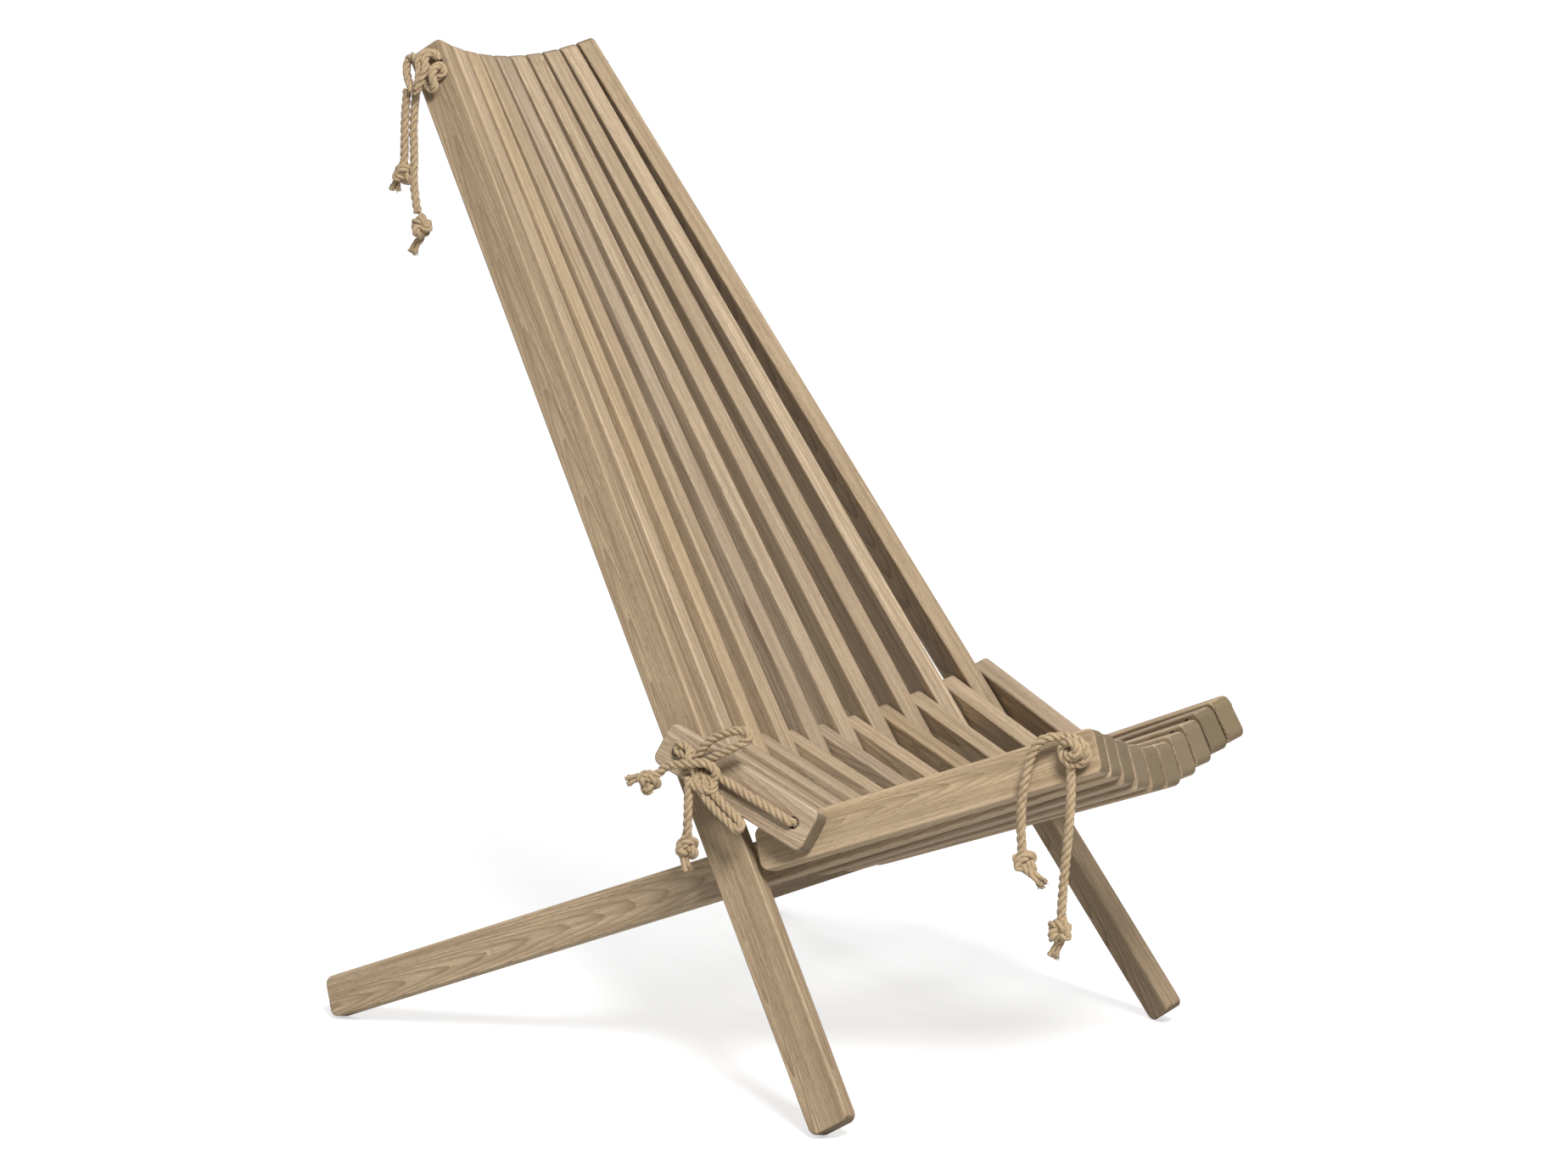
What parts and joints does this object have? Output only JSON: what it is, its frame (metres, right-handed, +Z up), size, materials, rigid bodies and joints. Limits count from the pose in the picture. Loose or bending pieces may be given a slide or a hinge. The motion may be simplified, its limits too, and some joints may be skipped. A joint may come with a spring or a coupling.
{
  "type": "folding deck chair",
  "caption": "Low folding lounge chair of parallel wooden slats threaded on knotted rope; the slatted seat and rear legs swing up flat against the slatted back.",
  "frame": {"origin": "centre of the chair's wooden footprint, on the floor", "axes": "X across the width, the chair faces -Y, +Z up; the knotted rope ends are on the -X side"},
  "size_m": [0.6702, 0.9685, 1.0487],
  "materials": {
    "ash": "matte oiled",
    "rope": "natural fibre"
  },
  "bodies": {
    "back": {"back_slat_01": "ash", "back_slat_02": "ash", "back_slat_03": "ash", "back_slat_04": "ash", "back_slat_05": "ash", "back_slat_06": "ash", "back_slat_07": "ash", "back_slat_08": "ash", "back_slat_09": "ash", "back_slat_10": "ash", "rope_top": "rope", "rope_upper_link": "rope", "top_knot": "rope", "top_knot_far": "rope", "top_tail_a": "rope", "top_tail_b": "rope", "top_tail_knots": "rope"},
    "link_body_00": {"link_00": "ash", "lacing_near": "rope", "bow": "rope", "bow_tail": "rope", "bow_tail_knot": "rope"},
    "link_body_01": {"link_01": "ash"},
    "link_body_02": {"link_02": "ash"},
    "link_body_03": {"link_03": "ash"},
    "link_body_04": {"link_04": "ash"},
    "link_body_05": {"link_05": "ash", "rope_link_05": "rope"},
    "link_body_06": {"link_06": "ash"},
    "link_body_07": {"link_07": "ash"},
    "link_body_08": {"link_08": "ash"},
    "link_body_09": {"link_09": "ash"},
    "link_body_10": {"link_10": "ash", "lacing_far": "rope"},
    "seat_body_01": {"seat_slat_01": "ash", "seat_rope_01": "rope", "front_knot": "rope", "front_tail_a": "rope", "front_tail_b": "rope", "front_tail_knots": "rope"},
    "seat_body_02": {"seat_slat_02": "ash", "seat_rope_02": "rope"},
    "seat_body_03": {"seat_slat_03": "ash", "seat_rope_03": "rope"},
    "seat_body_04": {"seat_slat_04": "ash", "seat_rope_04": "rope"},
    "seat_body_05": {"seat_slat_05": "ash", "seat_rope_05": "rope"},
    "seat_body_06": {"seat_slat_06": "ash", "seat_rope_06": "rope"},
    "seat_body_07": {"seat_slat_07": "ash", "seat_rope_07": "rope"},
    "seat_body_08": {"seat_slat_08": "ash", "seat_rope_08": "rope"},
    "seat_body_09": {"seat_slat_09": "ash", "seat_rope_09": "rope"},
    "seat_body_10": {"seat_slat_10": "ash", "seat_rope_10": "rope", "front_knot_far": "rope"}
  },
  "joints": [
    {"name": "link_hinge_00", "type": "hinge", "parent": "back", "child": "link_body_00", "pos_m": [-0.23954, -0.05173, 0.34668], "axis": [0.7224, -0.0863, -0.6861], "range_deg": [0, 13.91]},
    {"name": "link_hinge_01", "type": "hinge", "parent": "back", "child": "link_body_01", "pos_m": [-0.19366, -0.04102, 0.3321], "axis": [0.8105, -0.0681, -0.5818], "range_deg": [0, 13.26]},
    {"name": "link_hinge_02", "type": "hinge", "parent": "back", "child": "link_body_02", "pos_m": [-0.14644, -0.03261, 0.32065], "axis": [0.8875, -0.0505, -0.4581], "range_deg": [0, 12.73]},
    {"name": "link_hinge_03", "type": "hinge", "parent": "back", "child": "link_body_03", "pos_m": [-0.0982, -0.02656, 0.31242], "axis": [0.9479, -0.0334, -0.3169], "range_deg": [0, 12.34]},
    {"name": "link_hinge_04", "type": "hinge", "parent": "back", "child": "link_body_04", "pos_m": [-0.04927, -0.02292, 0.30746], "axis": [0.9866, -0.0166, -0.1622], "range_deg": [0, 12.1]},
    {"name": "link_hinge_05", "type": "hinge", "parent": "back", "child": "link_body_05", "pos_m": [0, -0.0217, 0.3058], "axis": [1, 0, 0], "range_deg": [0, 12.02]},
    {"name": "link_hinge_06", "type": "hinge", "parent": "back", "child": "link_body_06", "pos_m": [0.04927, -0.02292, 0.30746], "axis": [0.9866, 0.0166, 0.1622], "range_deg": [0, 12.1]},
    {"name": "link_hinge_07", "type": "hinge", "parent": "back", "child": "link_body_07", "pos_m": [0.0982, -0.02656, 0.31242], "axis": [0.9479, 0.0334, 0.3169], "range_deg": [0, 12.34]},
    {"name": "link_hinge_08", "type": "hinge", "parent": "back", "child": "link_body_08", "pos_m": [0.14644, -0.03261, 0.32065], "axis": [0.8875, 0.0505, 0.4581], "range_deg": [0, 12.73]},
    {"name": "link_hinge_09", "type": "hinge", "parent": "back", "child": "link_body_09", "pos_m": [0.19366, -0.04102, 0.3321], "axis": [0.8105, 0.0681, 0.5818], "range_deg": [0, 13.26]},
    {"name": "link_hinge_10", "type": "hinge", "parent": "back", "child": "link_body_10", "pos_m": [0.23954, -0.05173, 0.34668], "axis": [0.7224, 0.0863, 0.6861], "range_deg": [0, 13.91]},
    {"name": "seat_hinge_01", "type": "hinge", "parent": "link_body_00", "child": "seat_body_01", "pos_m": [-0.20089, -0.1882, 0.28467], "axis": [-0.9303, -0.2172, 0.2956], "range_deg": [0, 113.1]},
    {"name": "seat_hinge_02", "type": "hinge", "parent": "link_body_01", "child": "seat_body_02", "pos_m": [-0.15771, -0.17933, 0.2726], "axis": [-0.9576, -0.1705, 0.2321], "range_deg": [0, 113]},
    {"name": "seat_hinge_03", "type": "hinge", "parent": "link_body_02", "child": "seat_body_03", "pos_m": [-0.11344, -0.17263, 0.26347], "axis": [-0.9783, -0.1226, 0.1669], "range_deg": [0, 113.1]},
    {"name": "seat_hinge_04", "type": "hinge", "parent": "link_body_03", "child": "seat_body_04", "pos_m": [-0.06838, -0.16814, 0.25735], "axis": [-0.9922, -0.0739, 0.1006], "range_deg": [0, 113.1]},
    {"name": "seat_hinge_05", "type": "hinge", "parent": "link_body_04", "child": "seat_body_05", "pos_m": [-0.02285, -0.16588, 0.25428], "axis": [-0.9991, -0.0247, 0.0336], "range_deg": [0, 113.1]},
    {"name": "seat_hinge_06", "type": "hinge", "parent": "link_body_06", "child": "seat_body_06", "pos_m": [0.02285, -0.16588, 0.25428], "axis": [-0.9991, 0.0247, -0.0336], "range_deg": [0, 113.1]},
    {"name": "seat_hinge_07", "type": "hinge", "parent": "link_body_07", "child": "seat_body_07", "pos_m": [0.06838, -0.16814, 0.25735], "axis": [-0.9922, 0.0739, -0.1006], "range_deg": [0, 113.1]},
    {"name": "seat_hinge_08", "type": "hinge", "parent": "link_body_08", "child": "seat_body_08", "pos_m": [0.11344, -0.17263, 0.26347], "axis": [-0.9783, 0.1226, -0.1669], "range_deg": [0, 113.1]},
    {"name": "seat_hinge_09", "type": "hinge", "parent": "link_body_09", "child": "seat_body_09", "pos_m": [0.15771, -0.17933, 0.2726], "axis": [-0.9576, 0.1705, -0.2321], "range_deg": [0, 113.1]},
    {"name": "seat_hinge_10", "type": "hinge", "parent": "link_body_10", "child": "seat_body_10", "pos_m": [0.20089, -0.1882, 0.28467], "axis": [-0.9303, 0.2172, -0.2956], "range_deg": [0, 113.1]}
  ],
  "couplings": [
    {"joint": "link_hinge_00", "follows": "seat_hinge_02", "ratio": 0.12294},
    {"joint": "link_hinge_01", "follows": "seat_hinge_02", "ratio": 0.11719},
    {"joint": "link_hinge_02", "follows": "seat_hinge_02", "ratio": 0.11251},
    {"joint": "link_hinge_03", "follows": "seat_hinge_02", "ratio": 0.10905},
    {"joint": "link_hinge_04", "follows": "seat_hinge_02", "ratio": 0.10691},
    {"joint": "link_hinge_05", "follows": "seat_hinge_02", "ratio": 0.10619},
    {"joint": "link_hinge_06", "follows": "seat_hinge_02", "ratio": 0.10691},
    {"joint": "link_hinge_07", "follows": "seat_hinge_02", "ratio": 0.10905},
    {"joint": "link_hinge_08", "follows": "seat_hinge_02", "ratio": 0.11251},
    {"joint": "link_hinge_09", "follows": "seat_hinge_02", "ratio": 0.11719},
    {"joint": "link_hinge_10", "follows": "seat_hinge_02", "ratio": 0.12294},
    {"joint": "seat_hinge_01", "follows": "seat_hinge_02", "ratio": 1},
    {"joint": "seat_hinge_03", "follows": "seat_hinge_02", "ratio": 1},
    {"joint": "seat_hinge_04", "follows": "seat_hinge_02", "ratio": 1},
    {"joint": "seat_hinge_05", "follows": "seat_hinge_02", "ratio": 1},
    {"joint": "seat_hinge_06", "follows": "seat_hinge_02", "ratio": 1},
    {"joint": "seat_hinge_07", "follows": "seat_hinge_02", "ratio": 1},
    {"joint": "seat_hinge_08", "follows": "seat_hinge_02", "ratio": 1},
    {"joint": "seat_hinge_09", "follows": "seat_hinge_02", "ratio": 1},
    {"joint": "seat_hinge_10", "follows": "seat_hinge_02", "ratio": 1}
  ]
}
